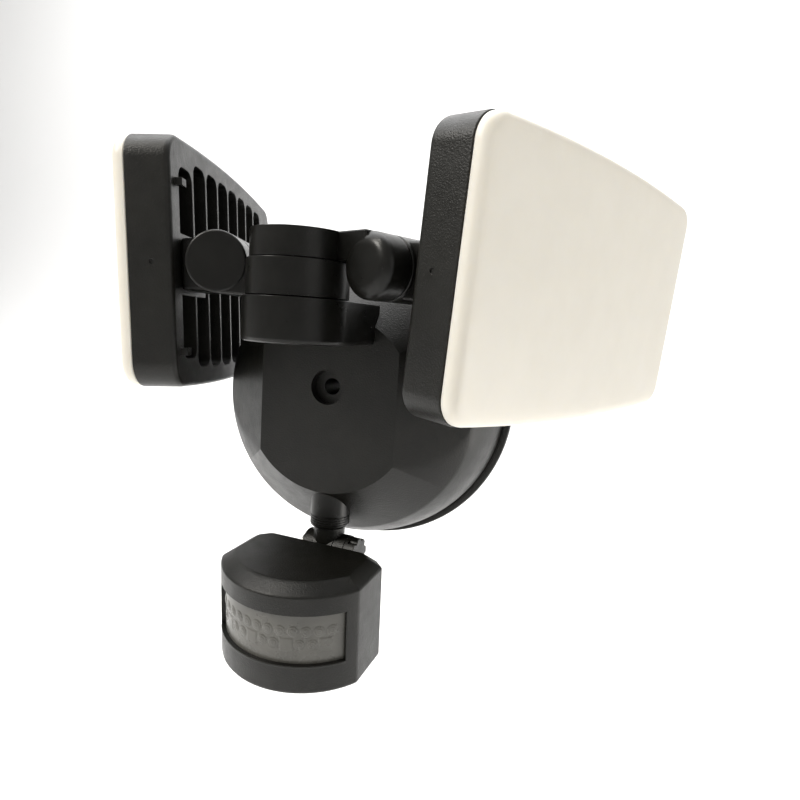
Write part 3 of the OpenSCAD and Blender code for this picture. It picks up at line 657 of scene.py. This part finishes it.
def lens_height(s, d, cells):
    """Relief of the lens at s round the window and d below its top, in millimetres."""
    for cs, cd, a, b in cells:
        u, v = s - cs, d - cd
        if b:
            edge = min(a - abs(u), b - abs(v))
            if edge > 0:
                return 0.16 * min(edge / 0.45, 1)
        else:
            q = math.hypot(u, v)
            if q < a:
                return 0.30 * (1 - (q / a) ** 2) + 0.05 * math.cos(2 * math.pi * q / 0.75)
    return 0.0


def build_lens():
    """The curved window: a plain back layer and a front layer with the lenslets' relief."""
    r, cells = SENSOR_R - 1.15, lenslets()
    half = math.radians(WINDOW_ANGLE + 1.2) * r
    d0, d1 = -LENS_LAP, WINDOW_H + LENS_LAP
    cols, rows = int(2 * half / LENS_STEP), int((d1 - d0) / LENS_STEP)
    verts, faces = [], []
    for layer in (0, 1):
        for j in range(rows + 1):
            d = d0 + (d1 - d0) * j / rows
            for i in range(cols + 1):
                s = -half + 2 * half * i / cols
                rr = r - 1.2 if layer else r - 0.3 + lens_height(s, d, cells)
                t = s / r - math.pi / 2
                verts.append((rr * math.cos(t), SENSOR_CENTRE_Y + rr * math.sin(t), WINDOW_TOP - d))
    n = (cols + 1) * (rows + 1)

    def at(j, i):
        return j * (cols + 1) + i

    for j in range(rows):
        for i in range(cols):
            q = (at(j, i), at(j, i + 1), at(j + 1, i + 1), at(j + 1, i))
            faces += [q, tuple(n + v for v in q[::-1])]
    rim = [at(0, i) for i in range(cols + 1)] + [at(j, cols) for j in range(1, rows + 1)]
    rim += [at(rows, i) for i in range(cols - 1, -1, -1)] + [at(j, 0) for j in range(rows - 1, 0, -1)]
    for a, b in zip(rim, rim[1:] + rim[:1]):
        faces.append((b, a, n + a, n + b))
    lens = mesh_object("sensor_lens_visual", verts, faces)
    return place(lens, sensor_frame(), "sensor", LENS, ["sensor_lens"])


def build_collar():
    """The sleeve under the cover, with its knurled lower end."""
    z0, r, groove_r, knurl_pitch = COLLAR_Z0, COLLAR_R, COLLAR_R - 0.22, 0.9
    profile = [(COLLAR_BORE_R, z0), (6.7, z0), (7.2, z0 + 0.5)]
    for k in range(4):
        z = z0 + knurl_pitch * (1 + k)
        profile += [(r, z), (r, z + 0.5), (groove_r, z + 0.62), (groove_r, z + 0.78)]
    profile += [(r, z0 + 4.8), (r, COLLAR_Z1), (COLLAR_BORE_R, COLLAR_Z1)]
    collar = shift(revolve("sensor_collar_visual", profile, 96, closed=True), 0, -STEM_Y)
    return place(collar, ROW, "canopy", SATIN, ["sensor_collar"])


build_cover()
build_plate()
build_turret_base()
build_turret_cap()
for side in SIDES:
    build_arm(side)
    build_knuckle(side)
    build_knuckle_bolt(side)
    build_housing(side)
    build_diffuser(side)
build_sensor_shell()
build_lens()
build_collar()


# ---------- stage, light and camera ----------

def build_stage():
    """A pale floor that curves up behind the light."""
    floor_z, wall_y, bend, half_w, steps = -0.30, 2.2, 1.0, 5.0, 16
    angles = [math.pi / 2 * k / steps for k in range(1, steps + 1)]
    path = [(-4.0, floor_z), (wall_y - bend, floor_z)]
    path += [(wall_y - bend + bend * math.sin(t), floor_z + bend * (1 - math.cos(t))) for t in angles]
    path += [(wall_y, 4.0)]
    verts = [(x, y, z) for y, z in path for x in (-half_w, half_w)]
    faces = [(2 * k, 2 * k + 1, 2 * k + 3, 2 * k + 2) for k in range(len(path) - 1)]
    stage = mesh_object("stage", verts, faces)
    stage.data.shade_smooth()
    m, _, _, shader = new_material("stage")
    shader.inputs["Base Color"].default_value = (0.93, 0.93, 0.93, 1)
    shader.inputs["Roughness"].default_value = 0.9
    stage.data.materials.append(m)


def area_light(name, position, target, size, power, colour=(1, 1, 1)):
    data = bpy.data.lights.new(name, "AREA")
    data.shape, data.size, data.energy, data.color = "DISK", size, power, colour
    light = bpy.data.objects.new(name, data)
    bpy.context.scene.collection.objects.link(light)
    light.location = position
    light.rotation_euler = (Vector(target) - Vector(position)).to_track_quat("-Z", "Y").to_euler()


def build_camera(azimuth, elevation, roll, position, lens):
    """Looks back at the light from azimuth degrees to the right of straight ahead."""
    a, e, r = (math.radians(v) for v in (azimuth, elevation, roll))
    back = Vector((math.sin(a) * math.cos(e), -math.cos(a) * math.cos(e), math.sin(e)))
    right = (-back).cross(Vector((0, 0, 1))).normalized()
    up = back.cross(right)
    x = math.cos(r) * right + math.sin(r) * up
    y = -math.sin(r) * right + math.cos(r) * up
    data = bpy.data.cameras.new("camera")
    data.lens, data.sensor_width, data.clip_start = lens, 36.0, 0.01
    camera = bpy.data.objects.new("camera", data)
    bpy.context.scene.collection.objects.link(camera)
    camera.matrix_world = Matrix.Translation(position) @ Matrix((x, y, back)).transposed().to_4x4()
    bpy.context.scene.camera = camera


build_stage()
world = bpy.data.worlds.new("studio")
world.use_nodes = True
background = world.node_tree.nodes["Background"]
background.inputs["Color"].default_value = (1, 0.985, 0.95, 1)
background.inputs["Strength"].default_value = 0.42
bpy.context.scene.world = world
bpy.context.scene.view_settings.view_transform = "Standard"
# Name, place, target, diameter, power, colour
area_light("key", (-0.75, -0.75, 0.8), (0, -0.05, 0), 0.35, 8, (1, 0.965, 0.90))
area_light("top", (-0.35, -0.45, 0.85), (0, -0.06, -0.02), 0.12, 1.5, (1, 0.96, 0.88))
area_light("fill", (1.1, -0.75, 0.35), (0.05, -0.05, 0), 0.8, 0.9, (1, 0.98, 0.95))
area_light("rim", (0.7, 0.12, -0.22), (0, -0.03, -0.03), 0.35, 1.6, (1, 0.97, 0.92))
area_light("backdrop", (-0.8, 0.7, 1.9), (-0.9, 1.9, 0.5), 2.8, 62)
area_light("floor", (0, 0.6, 1.6), (0, 0.7, -0.3), 2.0, 14)
build_camera(17.818, 7.433, 3.628, (0.08711, -0.23341, 0.02962), 26.30)
